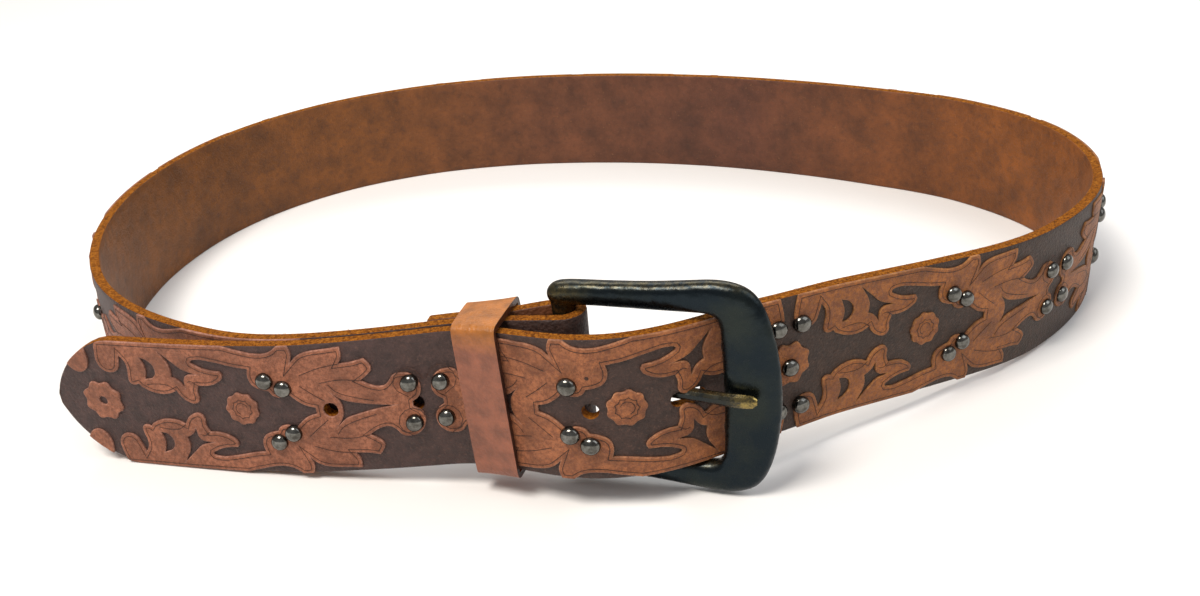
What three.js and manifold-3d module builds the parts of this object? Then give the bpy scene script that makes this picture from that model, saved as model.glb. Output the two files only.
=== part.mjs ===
// A western tooled leather belt, fastened, standing on its lower edge as a closed loop.
// Millimetres, +Z up. The buckle is at the front, towards -Y, and the loop holds the waist.
// The strap starts at its pointed tip, rides over the buckle's bar, goes behind the frame's
// right side and once round the loop, and ends in a fold round the bar behind its own tip run.

import * as THREE from 'three';
import Module from 'manifold-3d';
import { mergeVertices } from 'three/addons/utils/BufferGeometryUtils.js';

const wasm = await Module();
wasm.setup();

// Leather strap
const strapWidth = 38;
const strapThick = 3.4;
const ringRadius = 140;
const layerGap = 0.4;
const pieceGap = 0.3;
const stationStep = 5;

// Pointed tip: the outer run leaves the ring straight, a little before the keeper
const tipReach = 66;
const tipLength = 20;
const springAngle = 231;

// Buckle end: where the bar stands, and how far the runs rise to pass over it
const barAngle = 266.3;
const barRadius = 2.5;
const rideOut = 10;
const ridePeak = 9.6;
const rideBefore = 41;
const rideAfter = 40;
const innerRide = 0.36;
const foldLength = 35;
const foldSettle = 20;

// Round holes punched for the prong, counted from the one in use towards the tip
const holeRadius = 2.1;
const holePitch = 23.2;
const holeCount = 5;

// Cast buckle frame
const buckleWidth = 57.2;
const buckleDepth = 6;
const armHeight = 8.9;
const armOverhang = 3.2;
const strapPlay = 1;

// Prong
const prongRadius = 1.6;
const prongPastWindow = 9;
const collarWall = 1.8;
const collarHeight = 4.2;
const slotPlay = 0.8;
const slotBehindBar = 14;

// Keeper loop
const keeperWidth = 12;
const keeperThick = 1.7;
const keeperFromBar = 18;
const keeperTilt = 2.5;
const keeperRound = 2.5;

// Domed studs, each with a short post in the leather
const studRadius = 2.4;
const studHeight = 1.9;
const postRadius = 0.8;
const postLength = 1.8;
const studSides = 10;

// The tooled pattern's places along the strap, which the studs follow as far as studReach
const firstFlower = 14.2;
const flowerToRose = 42.5;
const roseToCluster = 51.6;
const studReach = 450;

const layerPitch = strapThick + layerGap;
const foldRadius = barRadius + pieceGap + strapThick / 2;
const windowHalf = strapWidth / 2 + strapPlay;
const buckleHalf = windowHalf + armHeight;
const planStep = 0.5;
const degrees = Math.PI / 180;

// Plan of the ring at the strap's lower edge: direction from the loop's middle in degrees,
// counter-clockwise from +X, radius as a share of ringRadius, and the outward lean of the
// strap's upper edge in degrees.
const ringTable = [
  { angle: 0, radius: 1.116, lean: 1.7 },
  { angle: 15, radius: 1.026, lean: 1 },
  { angle: 30, radius: 0.906, lean: 0.5 },
  { angle: 45, radius: 0.833, lean: 0 },
  { angle: 60, radius: 0.801, lean: 0 },
  { angle: 75, radius: 0.801, lean: 0 },
  { angle: 90, radius: 0.832, lean: 0.6 },
  { angle: 105, radius: 0.896, lean: 0.9 },
  { angle: 120, radius: 0.981, lean: 1.1 },
  { angle: 135, radius: 1.064, lean: 1.1 },
  { angle: 150, radius: 1.118, lean: 0.7 },
  { angle: 165, radius: 1.132, lean: 0 },
  { angle: 180, radius: 1.121, lean: -0.8 },
  { angle: 195, radius: 1.094, lean: -1.3 },
  { angle: 210, radius: 1.051, lean: -1.1 },
  { angle: 225, radius: 0.98, lean: -0.4 },
  { angle: 240, radius: 0.892, lean: -0.1 },
  { angle: 255, radius: 0.853, lean: -0.8 },
  { angle: 270, radius: 0.856, lean: -0.9 },
  { angle: 285, radius: 0.889, lean: 0.2 },
  { angle: 300, radius: 0.883, lean: 3.2 },
  { angle: 315, radius: 0.93, lean: 3.8 },
  { angle: 330, radius: 1.031, lean: 3.4 },
  { angle: 345, radius: 1.116, lean: 2.6 },
];

// The buckle holds the front of the strap up, in a long smooth rise with a level top
const liftHeight = buckleHalf - strapWidth / 2 - 0.5;
const liftAngle = 278.4;
const liftSpread = 39;

// Where the second run starts and ends its tuck behind the tip run
const tuckStart = 195;
const tuckEnd = 222;

// Upper half of the buckle frame, from the arm's end to the middle of the right side. Along is
// a share of buckleWidth from the left end, outUp of half the frame's height, inUp of half the
// window's height, and depth of buckleDepth.
const frameTable = [
  { outAlong: 0, outUp: 0.82, inAlong: 0, inUp: 1.08, depth: 0.5 },
  { outAlong: 0.015, outUp: 0.86, inAlong: 0.015, inUp: 1.02, depth: 0.85 },
  { outAlong: 0.06, outUp: 0.895, inAlong: 0.06, inUp: 1, depth: 1 },
  { outAlong: 0.215, outUp: 0.91, inAlong: 0.215, inUp: 1, depth: 0.93 },
  { outAlong: 0.43, outUp: 0.93, inAlong: 0.43, inUp: 1, depth: 0.96 },
  { outAlong: 0.61, outUp: 0.965, inAlong: 0.6, inUp: 1, depth: 1 },
  { outAlong: 0.74, outUp: 0.985, inAlong: 0.7, inUp: 0.985, depth: 1 },
  { outAlong: 0.86, outUp: 0.92, inAlong: 0.724, inUp: 0.87, depth: 0.97 },
  { outAlong: 0.925, outUp: 0.72, inAlong: 0.727, inUp: 0.65, depth: 0.92 },
  { outAlong: 0.967, outUp: 0.38, inAlong: 0.73, inUp: 0.35, depth: 0.88 },
  { outAlong: 0.982, outUp: 0, inAlong: 0.731, inUp: 0, depth: 0.87 },
];

// Prong from its collar to its flattened tip: along as a share of its reach, rise as a share of
// its height over the frame's middle plane, across and thick as shares of prongRadius.
const prongTable = [
  { along: 0.08, rise: 0.05, across: 1, thick: 1 },
  { along: 0.3, rise: 0.3, across: 1, thick: 1 },
  { along: 0.6, rise: 0.66, across: 1, thick: 1 },
  { along: 0.8, rise: 0.93, across: 1, thick: 1 },
  { along: 0.88, rise: 1, across: 1.05, thick: 0.95 },
  { along: 0.94, rise: 1.01, across: 1.15, thick: 0.85 },
  { along: 0.98, rise: 1, across: 1, thick: 0.65 },
  { along: 1, rise: 0.98, across: 0.5, thick: 0.35 },
];

// Studs round each motif. Along is measured from the motif's middle towards the next cluster,
// in millimetres, and up from the strap's lower edge as a share of strapWidth.
const flowerStuds = [
  { along: 0, up: 0.49 },
  { along: -3.3, up: 0.79 },
  { along: 3.3, up: 0.79 },
  { along: -3.3, up: 0.18 },
  { along: 3.3, up: 0.18 },
];
const roseStuds = [
  { along: 8.5, up: 0.74 },
  { along: 13.3, up: 0.68 },
  { along: 9, up: 0.26 },
  { along: 13.6, up: 0.33 },
];
const clusterStuds = [
  { along: -4.1, up: 0.66 },
  { along: 4.1, up: 0.65 },
  { along: -4.3, up: 0.36 },
  { along: 4.3, up: 0.38 },
];

const leather = new THREE.MeshStandardMaterial({ color: '#8a5237', roughness: 0.7, metalness: 0 });
const saddleLeather = new THREE.MeshStandardMaterial({ color: '#8f5330', roughness: 0.55, metalness: 0 });
const darkBrass = new THREE.MeshStandardMaterial({ color: '#2e3338', roughness: 0.4, metalness: 0.85 });
const wornBrass = new THREE.MeshStandardMaterial({ color: '#5b5238', roughness: 0.4, metalness: 0.9 });
const pewter = new THREE.MeshStandardMaterial({ color: '#4a4a4a', roughness: 0.35, metalness: 0.9 });

function smoothRise(share) {
  const t = THREE.MathUtils.clamp(share, 0, 1);
  return t * t * (3 - 2 * t);
}

// Radius and lean of the ring at any direction, smooth through the table's rows
function ringRow(angle) {
  const turn = THREE.MathUtils.euclideanModulo(angle, 360);
  const count = ringTable.length;
  const before = ringTable.findLastIndex((row) => row.angle <= turn);
  const rowAt = (k) => {
    const row = ringTable[(k + count) % count];
    return { ...row, angle: row.angle + 360 * Math.floor(k / count) };
  };
  const [a, b, c, d] = [-1, 0, 1, 2].map((k) => rowAt(before + k));
  const span = c.angle - b.angle;
  const t = (turn - b.angle) / span;
  const blend = (key) => {
    const slopeB = (span * (c[key] - a[key])) / (c.angle - a.angle);
    const slopeC = (span * (d[key] - b[key])) / (d.angle - b.angle);
    const rise = smoothRise(t);
    return b[key] * (1 - rise) + c[key] * rise + t * (1 - t) * ((1 - t) * slopeB - t * slopeC);
  };
  return { radius: ringRadius * blend('radius'), lean: degrees * blend('lean') };
}

function ringPoint(angle) {
  const { radius } = ringRow(angle);
  return new THREE.Vector3(radius * Math.cos(angle * degrees), radius * Math.sin(angle * degrees), 0);
}

function ringAlong(angle) {
  return ringPoint(angle + planStep).sub(ringPoint(angle - planStep)).normalize();
}

// Plan direction out of the strap's tooled face, to the right of its run
function outward(along) {
  return new THREE.Vector3(along.y, -along.x, 0).normalize();
}

function ringDistance(fromAngle, toAngle) {
  let length = 0;
  for (let angle = fromAngle; angle < toAngle; angle += planStep) {
    length += ringPoint(angle).distanceTo(ringPoint(Math.min(angle + planStep, toAngle)));
  }
  return length;
}

// Plan points round the ring, set outward by a distance that depends on the direction and on
// the distance from the bar
function ringPoints(fromAngle, toAngle, offsetAt) {
  const points = [];
  let fromBar = -ringDistance(fromAngle, barAngle);
  for (let angle = fromAngle; angle <= toAngle; angle += planStep) {
    const place = ringPoint(angle).addScaledVector(outward(ringAlong(angle)), offsetAt(angle, fromBar));
    points.push({ place, lean: ringRow(angle).lean });
    fromBar += ringPoint(angle).distanceTo(ringPoint(angle + planStep));
  }
  return points;
}

// How far the outer run stands out over the bar, by the distance along the ring from the bar
function rideAt(fromBar) {
  const away = fromBar - ridePeak;
  const span = away < 0 ? rideBefore : rideAfter;
  return Math.abs(away) > span ? 0 : (rideOut / 2) * (1 + Math.cos((Math.PI * away) / span));
}

// Straight free stretch at the tip, in line with the ring where it springs away
function tipPoints() {
  const along = ringAlong(springAngle);
  const { lean } = ringRow(springAngle);
  const points = [];
  for (let back = tipReach; back > planStep; back -= planStep) {
    points.push({ place: ringPoint(springAngle).addScaledVector(along, -back), lean });
  }
  return points;
}

const outerPoints = [
  ...tipPoints(),
  ...ringPoints(springAngle, 360 + tuckStart, (angle, fromBar) => rideAt(fromBar)),
];

// Second run, from the start of the tuck to the bar, a layer's pitch inside the outer run
function innerOffset(angle, fromBar) {
  const tuck = smoothRise((angle - tuckStart) / (tuckEnd - tuckStart));
  return innerRide * rideAt(fromBar) - layerPitch * tuck;
}

const innerPoints = ringPoints(tuckStart + planStep, barAngle, innerOffset);
const barRow = innerPoints.at(-1);
const barAlong = barRow.place.clone().sub(innerPoints.at(-2).place).normalize();
const barOut = outward(barAlong);
const barPlace = barRow.place.clone().addScaledVector(barOut, -foldRadius);

// Half turn round the bar, whose lean swings over with the strap
function foldPoints() {
  const points = [];
  for (let turn = 10; turn < 180; turn += 10) {
    const place = barPlace.clone();
    place.addScaledVector(barOut, foldRadius * Math.cos(turn * degrees));
    place.addScaledVector(barAlong, foldRadius * Math.sin(turn * degrees));
    points.push({ place, lean: barRow.lean * Math.cos(turn * degrees) });
  }
  return points;
}

// The folded end runs back inside the second run and settles against it
function backPoints() {
  const points = [];
  let length = 0;
  for (let k = innerPoints.length - 1; length < foldLength; k -= 1) {
    const { place, lean } = innerPoints[k];
    const along = place.clone().sub(innerPoints[k - 1].place);
    const apart = THREE.MathUtils.lerp(2 * foldRadius, layerPitch, smoothRise(length / foldSettle));
    points.push({ place: place.clone().addScaledVector(outward(along), -apart), lean: -lean });
    length += along.length();
  }
  return points;
}

// Height of the strap's lower edge over the floor at a place in plan
function liftAt(place) {
  const angle = Math.atan2(place.y, place.x) / degrees;
  const away = THREE.MathUtils.euclideanModulo(angle - liftAngle + 180, 360) - 180;
  return liftHeight * Math.exp(-Math.abs((away / liftSpread) ** 3));
}

// Stations of the strap's middle surface at its lower edge, with unit vectors along the strap,
// up the strap and out of its tooled face, and the distance from the tip
function layStations(points) {
  let distance = 0;
  return points.map(({ place, lean }, k) => {
    const before = points[Math.max(0, k - 1)].place;
    const after = points[Math.min(points.length - 1, k + 1)].place;
    const along = after.clone().sub(before).normalize();
    const up = outward(along).multiplyScalar(Math.sin(lean));
    up.z = Math.cos(lean);
    const base = place.clone();
    base.z = liftAt(place) + (strapThick / 2) * Math.abs(Math.sin(lean));
    distance += k > 0 ? place.distanceTo(before) : 0;
    return { base, along, up, face: along.clone().cross(up), distance };
  });
}

const stations = layStations([...outerPoints, ...innerPoints, ...foldPoints(), ...backPoints()]);
const barStation = stations[outerPoints.length + innerPoints.length - 1];
const overBar = stations.filter(({ base, distance }) => {
  const near = Math.abs(base.clone().sub(barPlace).dot(barAlong)) < planStep;
  return near && distance < ringRadius * 2;
})[0];
const strapLength = stations.at(-1).distance;

// Station at any distance from the tip, between its neighbours
function stationAt(distance) {
  const after = Math.max(1, stations.findIndex((station) => station.distance >= distance));
  const [a, b] = [stations[after - 1], stations[after]];
  const share = (distance - a.distance) / (b.distance - a.distance);
  const mix = (key) => a[key].clone().lerp(b[key], share);
  const along = mix('along').normalize();
  const up = mix('up').normalize();
  return { base: mix('base'), along, up, face: along.clone().cross(up), distance };
}

// Point of the strap by its height over the lower edge and its distance out of the mid surface
function strapPoint(station, height, out) {
  return station.base.clone().addScaledVector(station.up, height).addScaledVector(station.face, out);
}

// Closed body through sections with equal numbers of points, its faces turned outward
function loft(sections) {
  const count = sections[0].length;
  const last = (sections.length - 1) * count;
  const faces = [];
  for (let k = 0; k < last; k += count) {
    for (let i = 0; i < count; i += 1) {
      const [a, b] = [k + i, k + ((i + 1) % count)];
      faces.push([a, b, b + count], [a, b + count, a + count]);
    }
  }
  for (let i = 1; i + 1 < count; i += 1) {
    faces.push([0, i + 1, i], [last, last + i, last + i + 1]);
  }
  const points = sections.flat();
  const volume = faces.reduce((sum, [a, b, c]) => {
    return sum + points[a].dot(points[b].clone().cross(points[c]));
  }, 0);
  const index = volume > 0 ? faces : faces.map(([a, b, c]) => [a, c, b]);
  const geometry = new THREE.BufferGeometry().setFromPoints(points);
  geometry.setIndex(index.flat());
  return geometry;
}

function toSolid(geometry) {
  const bare = geometry.clone();
  bare.deleteAttribute('normal');
  bare.deleteAttribute('uv');
  const merged = mergeVertices(bare);
  return new wasm.Manifold(new wasm.Mesh({
    numProp: 3,
    vertProperties: new Float32Array(merged.attributes.position.array),
    triVerts: new Uint32Array(merged.index.array),
  }));
}

function toGeometry(solid) {
  const mesh = solid.getMesh();
  const geometry = new THREE.BufferGeometry();
  geometry.setAttribute('position', new THREE.BufferAttribute(mesh.vertProperties, 3));
  geometry.setIndex(new THREE.BufferAttribute(mesh.triVerts, 1));
  geometry.computeVertexNormals();
  return geometry;
}

function cutAll(solid, tools) {
  return tools.reduce((left, tool) => left.subtract(toSolid(tool)), solid);
}

// Places a geometry whose X, Y and Z become the given unit vectors
function placed(geometry, origin, x, y, z) {
  return geometry.applyMatrix4(new THREE.Matrix4().makeBasis(x, y, z).setPosition(origin));
}

// Places a turned body on the strap, its own +Y out of the tooled face
function onStrap(geometry, distance, height, out) {
  const station = stationAt(distance);
  const sideways = station.along.clone().negate();
  return placed(geometry, strapPoint(station, height, out), sideways, station.face, station.up);
}

// Half width of the strap, which narrows to a blunt point at the tip
function halfWidthAt(distance) {
  const left = 1 - Math.min(1, (distance + 0.15) / tipLength);
  return (strapWidth / 2) * (1 - left ** 1.6) ** 0.62;
}

function strapBody() {
  const distances = [0, 0.02, 0.06, 0.12, 0.2, 0.3, 0.42, 0.56, 0.72, 0.88].map((k) => k * tipLength);
  const foldStart = barStation.distance;
  const foldEnd = foldStart + Math.PI * foldRadius;
  for (let distance = tipLength; distance < foldStart - 1; distance += stationStep) {
    distances.push(distance);
  }
  for (let turn = 0; turn <= 180; turn += 22.5) {
    distances.push(THREE.MathUtils.lerp(foldStart, foldEnd, turn / 180));
  }
  for (let distance = foldEnd + stationStep; distance < strapLength - 1; distance += stationStep) {
    distances.push(distance);
  }
  distances.push(strapLength);
  const sections = distances.map((distance) => {
    const station = stationAt(distance);
    const half = halfWidthAt(distance);
    const corners = [[-1, -1], [1, -1], [1, 1], [-1, 1]];
    return corners.map(([side, face]) => {
      return strapPoint(station, strapWidth / 2 + side * half, (face * strapThick) / 2);
    });
  });
  return toSolid(loft(sections));
}

// Frame in its own axes: along from the bar, up from the bar's middle, out of the front
function frameSections() {
  const lowerRows = frameTable.slice(0, -1).reverse().map((row) => ({ ...row, lower: true }));
  const rows = [...frameTable, ...lowerRows];
  const curve = (along, up, half) => new THREE.CatmullRomCurve3(rows.map((row) => new THREE.Vector3(
    row[along] * buckleWidth - armOverhang,
    (row.lower ? -1 : 1) * row[up] * half,
    (row.depth * buckleDepth) / 2,
  )), false, 'centripetal');
  const outline = curve('outAlong', 'outUp', buckleHalf);
  const inline = curve('inAlong', 'inUp', windowHalf);
  const steps = 2 * (rows.length - 1);
  return Array.from({ length: steps + 1 }, (_, k) => {
    const outer = outline.getPoint(k / steps);
    const inner = inline.getPoint(k / steps);
    const depth = outer.z;
    outer.z = 0;
    inner.z = 0;
    const middle = outer.clone().add(inner).divideScalar(2);
    return Array.from({ length: 12 }, (_, i) => {
      const turn = (i * Math.PI) / 6;
      const across = Math.sign(Math.cos(turn)) * Math.abs(Math.cos(turn)) ** 0.8;
      const out = Math.sign(Math.sin(turn)) * Math.abs(Math.sin(turn)) ** 0.8;
      const point = middle.clone().addScaledVector(outer.clone().sub(inner), across / 2);
      point.z = out * depth;
      return point;
    });
  });
}

// The frame's axes, turned about the bar from the strap's own line
function frameAxes(turn) {
  const up = barStation.up.clone();
  const side = new THREE.Vector3(Math.cos(turn * degrees), -Math.sin(turn * degrees), 0);
  const along = side.addScaledVector(up, -side.dot(up)).normalize();
  const origin = barPlace.clone();
  origin.z = barStation.base.z;
  origin.addScaledVector(up, buckleHalf - origin.z);
  return { origin, along, up, out: along.clone().cross(up) };
}

// Smallest distance of the frame's right side from the strap's tooled face, for one turn
function frameClearance(turn, points, run) {
  const axes = frameAxes(turn);
  const basis = new THREE.Matrix4().makeBasis(axes.along, axes.up, axes.out).setPosition(axes.origin);
  const clearances = points.map((point) => {
    const place = point.clone().applyMatrix4(basis);
    const plan = (station) => Math.hypot(station.base.x - place.x, station.base.y - place.y);
    const nearest = run.reduce((best, station) => (plan(station) < plan(best) ? station : best));
    const away = place.sub(nearest.base);
    const height = away.dot(nearest.up);
    const meets = height > -pieceGap && height < strapWidth + pieceGap;
    return meets ? away.dot(nearest.face) - strapThick / 2 : Infinity;
  });
  return Math.min(...clearances);
}

// The frame lies on the strap that goes behind its right side, so it turns out until it clears
function frameTurn(sections) {
  const points = sections.flat().filter((point) => point.x > buckleWidth / 3);
  const run = stations.filter(({ distance }) => {
    return distance > overBar.distance && distance < overBar.distance + 1.5 * buckleWidth;
  });
  let turn = 0;
  while (frameClearance(turn, points, run) < pieceGap && turn < 60) {
    turn += planStep;
  }
  return turn;
}

const frameShape = frameSections();
const frame = frameAxes(frameTurn(frameShape));

function onFrame(geometry) {
  return placed(geometry, frame.origin, frame.along, frame.up, frame.out);
}

function buckleFrame() {
  const bar = new THREE.CylinderGeometry(barRadius, barRadius, windowHalf + buckleHalf, 16);
  return toSolid(onFrame(loft(frameShape))).add(toSolid(onFrame(bar)));
}

// Right side of the window, and the prong's height over the frame's middle plane where it lies
const rightSide = frameTable.at(-1);
const windowEnd = rightSide.inAlong * buckleWidth - armOverhang;
const prongReach = windowEnd + prongPastWindow;
const prongRise = (rightSide.depth * buckleDepth) / 2 + pieceGap + prongRadius;

// Prong's shaft in the frame's axes, thicker all round by the clearance given
function prongShaft(clearance) {
  const curve = new THREE.CatmullRomCurve3(prongTable.map((row) => {
    return new THREE.Vector3(row.along * prongReach, 0, row.rise * prongRise);
  }));
  const steps = prongTable.length - 1;
  const sections = prongTable.map((row, k) => {
    const middle = curve.getPoint(k / steps);
    const along = curve.getTangent(k / steps);
    const across = new THREE.Vector3(0, 1, 0);
    const thick = along.clone().cross(across);
    return Array.from({ length: 10 }, (_, i) => {
      const turn = (i * Math.PI) / 5;
      const point = middle.clone();
      point.addScaledVector(across, (row.across * prongRadius + clearance) * Math.cos(turn));
      return point.addScaledVector(thick, (row.thick * prongRadius + clearance) * Math.sin(turn));
    });
  });
  return loft(sections);
}

function prong() {
  const inner = barRadius + pieceGap;
  const outer = inner + collarWall;
  const half = collarHeight / 2;
  const profile = [[inner, -half], [outer, -half], [outer, half], [inner, half], [inner, -half]];
  const collar = new THREE.LatheGeometry(profile.map(([x, y]) => new THREE.Vector2(x, y)), 16);
  return toSolid(onFrame(collar)).add(toSolid(onFrame(prongShaft(0))));
}

// Distance along the strap where the prong goes through it
function prongHoleDistance() {
  const run = stations.filter(({ distance }) => {
    return distance > overBar.distance && distance < overBar.distance + buckleWidth;
  });
  const gapAt = (station) => {
    const away = strapPoint(station, strapWidth / 2, 0).sub(frame.origin);
    return away.dot(frame.out) - (away.dot(frame.along) / prongReach) * prongRise;
  };
  return run.find((station) => gapAt(station) < 0).distance;
}

const prongHole = prongHoleDistance();

function holeCutters() {
  return Array.from({ length: holeCount }, (_, k) => {
    const punch = new THREE.CylinderGeometry(holeRadius, holeRadius, 2 * strapThick, 16);
    return onStrap(punch, prongHole - k * holePitch, strapWidth / 2, 0);
  });
}

// Slot in the fold where the prong's collar turns on the bar
function slotCutter() {
  const reach = foldRadius + strapThick;
  const long = slotBehindBar + reach;
  const slot = new THREE.BoxGeometry(long, collarHeight + 2 * slotPlay, 2 * reach);
  slot.translate((reach - slotBehindBar) / 2, 0, 0);
  return placed(slot, frame.origin, barAlong, barStation.up, barAlong.clone().cross(barStation.up));
}

// All stud places as far as studReach, from the pattern that repeats and mirrors along the strap
function studPlaces() {
  const period = 2 * (flowerToRose + roseToCluster);
  const places = [];
  for (let start = firstFlower; start < studReach; start += period) {
    const first = start === firstFlower;
    const motifs = [
      { middle: start, side: 1, studs: first ? [] : flowerStuds },
      { middle: start + flowerToRose, side: 1, studs: roseStuds },
      { middle: start + flowerToRose + roseToCluster, side: 1, studs: clusterStuds },
      { middle: start + period - flowerToRose, side: -1, studs: roseStuds },
    ];
    for (const { middle, side, studs } of motifs) {
      studs.forEach(({ along, up }, k) => {
        const lost = first && side < 0 && k === 0;
        places.push({ distance: middle + side * along, height: up * strapWidth, lost });
      });
    }
  }
  return places.filter(({ distance }) => distance < studReach);
}

const studs = studPlaces();

function postHole({ distance, height }) {
  const depth = postLength + pieceGap;
  const hole = new THREE.CylinderGeometry(postRadius + pieceGap, postRadius + pieceGap, 2 * depth, 8);
  return onStrap(hole, distance, height, strapThick / 2);
}

function domeStud({ distance, height }) {
  const brim = pieceGap;
  const profile = [
    [0, -postLength],
    [postRadius, -postLength],
    [postRadius, brim],
    [studRadius, brim],
    [studRadius * 0.86, brim + studHeight * 0.52],
    [studRadius * 0.5, brim + studHeight * 0.88],
    [0, brim + studHeight],
  ];
  const dome = new THREE.LatheGeometry(profile.map(([x, y]) => new THREE.Vector2(x, y)), studSides);
  return onStrap(dome, distance, height, strapThick / 2);
}

function beltStrap() {
  const cutters = [
    ...holeCutters(),
    onFrame(prongShaft(pieceGap)),
    slotCutter(),
    ...studs.map(postHole),
  ];
  return cutAll(strapBody(), cutters);
}

// Reach of the three layers through the keeper, seen from a station of the second run
function stackAt(distance) {
  const station = stationAt(distance);
  const runs = [
    [0, overBar.distance],
    [distance - 1, distance + 1],
    [barStation.distance + 1, strapLength],
  ];
  const outs = [];
  const lows = [];
  for (const [from, to] of runs) {
    const run = stations.filter((other) => other.distance >= from && other.distance <= to);
    const away = (other) => Math.abs(other.base.clone().sub(station.base).dot(station.along));
    const nearest = run.reduce((best, other) => (away(other) < away(best) ? other : best));
    const offset = nearest.base.clone().sub(station.base);
    outs.push(offset.dot(station.face));
    lows.push(offset.dot(station.up));
  }
  return { station, outs, lows };
}

// Rounded outline of the keeper across its run, grown by a distance from the stack's own
function keeperSection(distance, grow) {
  const sway = Math.tan(keeperTilt * degrees) * (strapWidth / 2);
  const stacks = [-sway, 0, sway].map((shift) => stackAt(distance + shift));
  const outs = stacks.flatMap((stack) => stack.outs);
  const lows = stacks.flatMap((stack) => stack.lows);
  const margin = pieceGap + grow;
  const side = strapThick / 2 + margin;
  const [left, right] = [Math.min(...outs) - side, Math.max(...outs) + side];
  const [low, high] = [Math.min(...lows) - margin, Math.max(...lows) + strapWidth + margin];
  const round = grow > 0 ? keeperRound : pieceGap;
  const corners = [[right, high, 0], [left, high, 90], [left, low, 180], [right, low, 270]];
  const { station } = stacks[1];
  return corners.flatMap(([out, height, start]) => [0, 30, 60, 90].map((turn) => {
    const angle = (start + turn) * degrees;
    const middleOut = out - Math.sign(out - (left + right) / 2) * round;
    const middleHeight = height - Math.sign(height - strapWidth / 2) * round;
    const up = middleHeight + round * Math.sin(angle);
    const point = strapPoint(station, up, middleOut + round * Math.cos(angle));
    return point.addScaledVector(station.along, -Math.tan(keeperTilt * degrees) * (up - strapWidth / 2));
  }));
}

function keeperLoop() {
  const middle = barStation.distance - keeperFromBar;
  const shares = [-0.5, -0.25, 0, 0.25, 0.5];
  const wall = shares.map((share) => keeperSection(middle + share * keeperWidth, keeperThick));
  const past = [-0.6, ...shares, 0.6];
  const opening = past.map((share) => keeperSection(middle + share * keeperWidth, 0));
  return cutAll(toSolid(loft(wall)), [loft(opening)]);
}

const belt = new THREE.Group();

function addPiece(name, geometry, material) {
  const piece = new THREE.Mesh(geometry, material);
  piece.name = name;
  belt.add(piece);
}

addPiece('belt_strap', toGeometry(beltStrap()), leather);
addPiece('keeper_loop', toGeometry(keeperLoop()), saddleLeather);
addPiece('buckle_frame', toGeometry(buckleFrame()), darkBrass);
addPiece('buckle_prong', toGeometry(prong()), wornBrass);
studs.filter((stud) => !stud.lost).forEach((stud, k) => {
  addPiece(`dome_stud_${String(k + 1).padStart(2, '0')}`, toGeometry(toSolid(domeStud(stud))), pewter);
});

// The origin is on the floor under the middle of the whole belt
const box = new THREE.Box3().setFromObject(belt);
belt.position.set(-(box.min.x + box.max.x) / 2, -(box.min.y + box.max.y) / 2, -box.min.z);

export default belt;
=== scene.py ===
# %% [markdown]
# A western tooled belt, fastened, standing on its lower edge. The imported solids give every
# place and size; this script dresses them: tooled and stained leather, raw suede edges, a
# patinated cast buckle, pewter studs and a burnished keeper.

# %% Load the frame
import math
import random

import bmesh
import bpy
import numpy as np
from mathutils import Matrix, Vector


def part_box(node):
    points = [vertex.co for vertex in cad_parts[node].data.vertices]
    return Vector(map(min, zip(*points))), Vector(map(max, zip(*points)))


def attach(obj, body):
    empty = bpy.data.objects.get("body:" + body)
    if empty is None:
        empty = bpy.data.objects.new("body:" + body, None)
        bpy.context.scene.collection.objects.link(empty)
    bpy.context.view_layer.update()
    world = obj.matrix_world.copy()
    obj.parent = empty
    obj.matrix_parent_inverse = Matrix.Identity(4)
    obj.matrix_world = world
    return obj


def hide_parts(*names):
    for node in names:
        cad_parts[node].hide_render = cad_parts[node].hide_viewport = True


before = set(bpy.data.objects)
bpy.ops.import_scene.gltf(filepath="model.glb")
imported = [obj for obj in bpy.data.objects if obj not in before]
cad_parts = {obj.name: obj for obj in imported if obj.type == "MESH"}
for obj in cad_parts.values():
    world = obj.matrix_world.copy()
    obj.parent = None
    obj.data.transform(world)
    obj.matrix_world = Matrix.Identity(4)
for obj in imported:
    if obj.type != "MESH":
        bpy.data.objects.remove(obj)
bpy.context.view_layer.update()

# %% [markdown]
# A strap maker works flat on a bench and only then bends the strap round. The script does the
# same: the leather, its holes and its tooling are made flat in millimetres, with X along the
# strap from its tip, Y up the strap and Z out of the tooled face, and one function bends them.

# %% Sizes of the strap, in millimetres
MM = 0.001
STRAP_WIDTH = 38.0
STRAP_THICK = 3.4
MIDDLE = STRAP_WIDTH / 2
RING_RADIUS = 140.0
LAYER_PITCH = STRAP_THICK + 0.4
BAR_RADIUS = 2.5
PIECE_GAP = 0.3
FOLD_RADIUS = BAR_RADIUS + PIECE_GAP + STRAP_THICK / 2
TIP_REACH, TIP_LENGTH, SPRING_ANGLE = 66.0, 20.0, 231.0
BAR_ANGLE, RIDE_OUT, RIDE_PEAK, RIDE_BEFORE, RIDE_AFTER = 266.3, 10.0, 9.6, 41.0, 40.0
INNER_RIDE, FOLD_LENGTH, FOLD_SETTLE = 0.36, 35.0, 20.0
LIFT_HEIGHT, LIFT_ANGLE, LIFT_SPREAD = 9.4, 278.4, 39.0
TUCK_START, TUCK_END = 195.0, 222.0
PLAN_STEP = 0.5
FOLD_STEP = 10
ROW_ANGLE = 15

# %% [markdown]
# Seen from above, the fastened belt is a soft, uneven ring. Two tables give its radius, as a
# share of RING_RADIUS, and how far the strap leans outward, in degrees, every 15 degrees round.

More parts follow.
